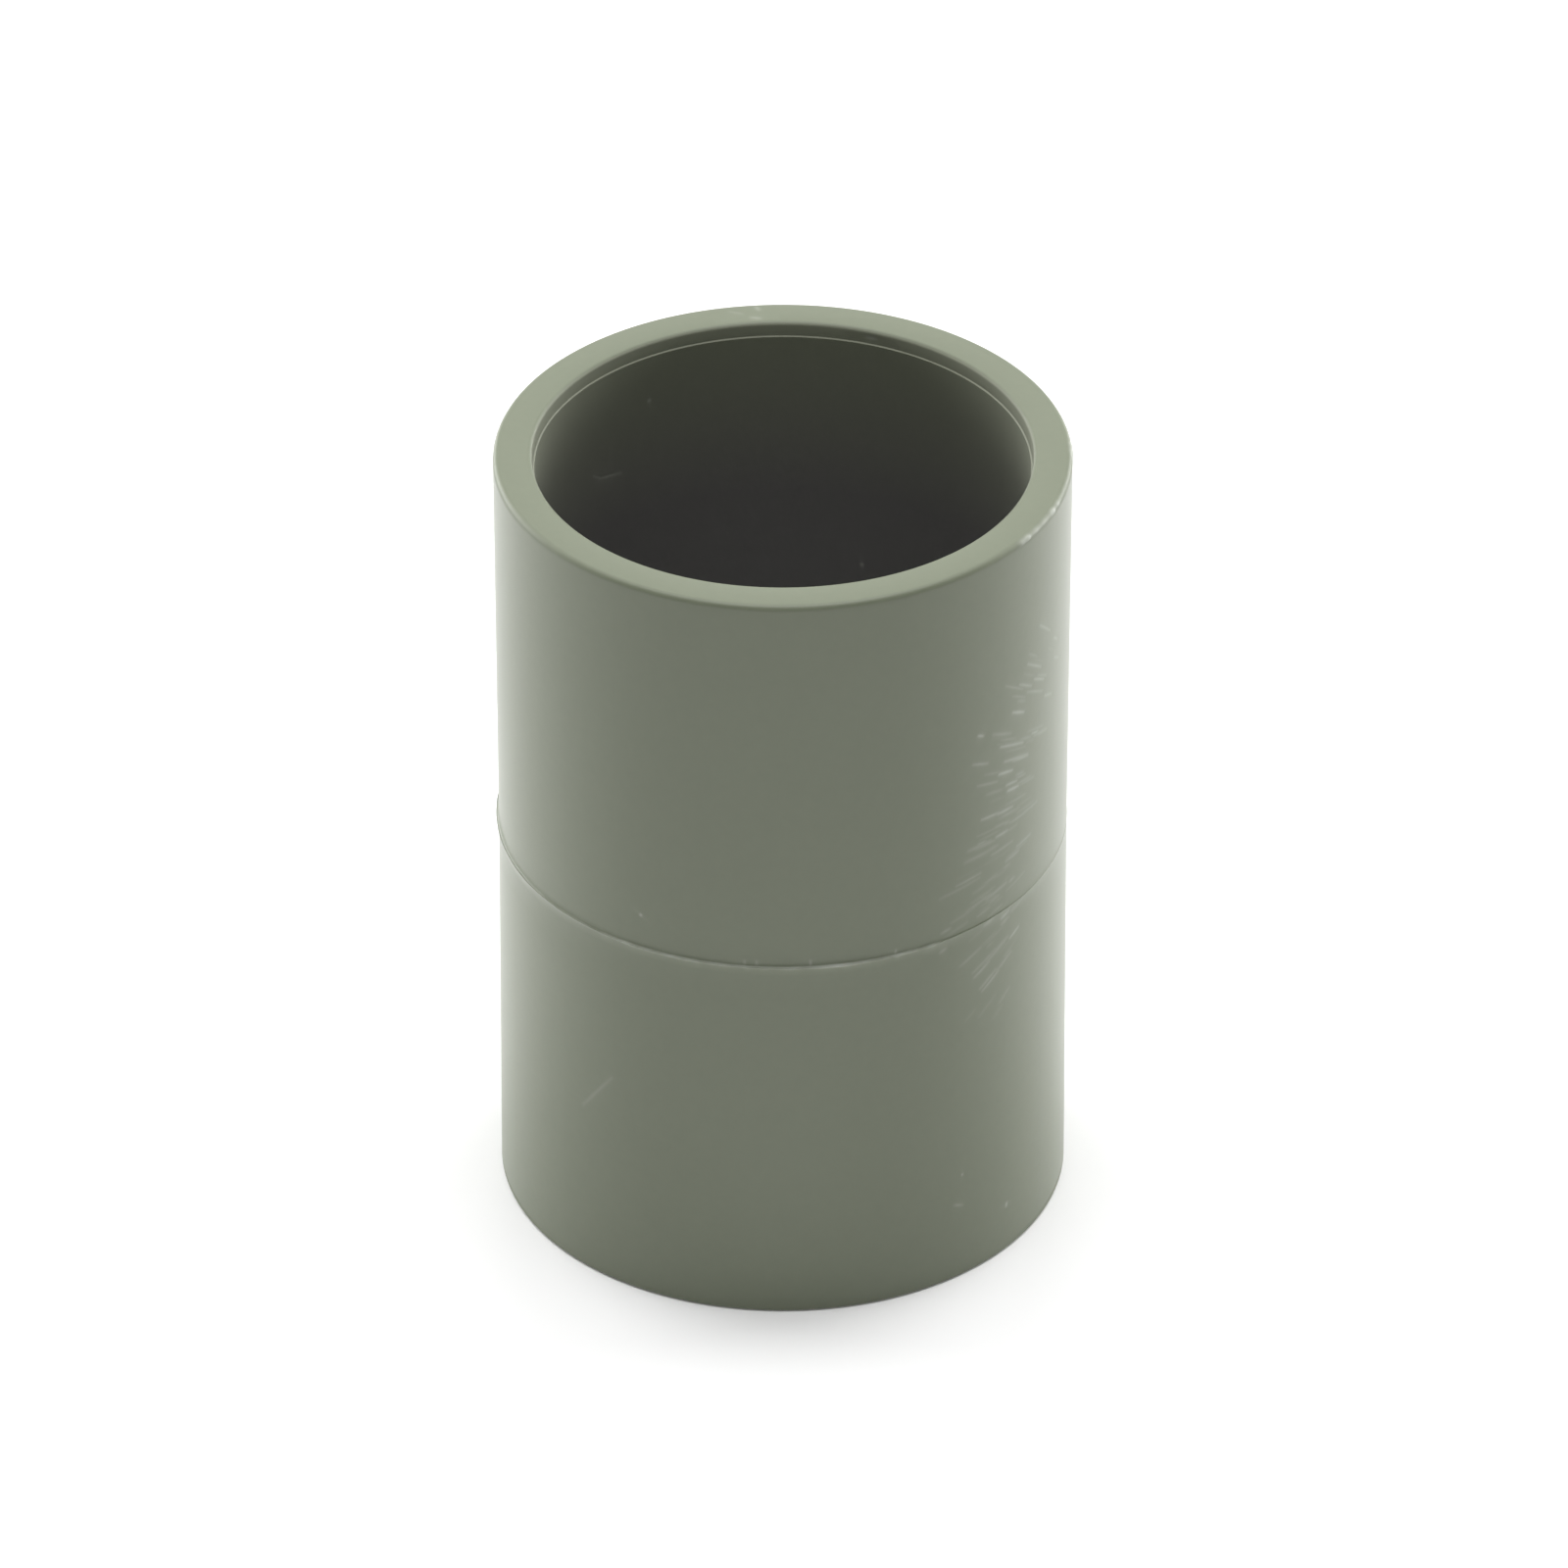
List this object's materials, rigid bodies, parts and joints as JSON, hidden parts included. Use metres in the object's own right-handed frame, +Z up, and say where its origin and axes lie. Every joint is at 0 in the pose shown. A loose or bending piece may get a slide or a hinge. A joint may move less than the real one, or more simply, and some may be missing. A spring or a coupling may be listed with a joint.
{
  "type": "conduit coupling",
  "caption": "Short plain plastic tube coupling with a deep socket at each end for rigid conduit, a centre stop ring inside and a mould line round the middle.",
  "frame": {"origin": "centre of the lower end face, on the axis", "axes": "+Z up along the axis from one mouth to the other; +X and +Y across it"},
  "size_m": [0.0294, 0.0294, 0.0429],
  "materials": {
    "moulded_plastic": "satin grey-green rigid plastic as moulded, lightly scuffed on one side"
  },
  "bodies": {
    "root": {"coupling_body": "moulded_plastic"}
  },
  "joints": []
}
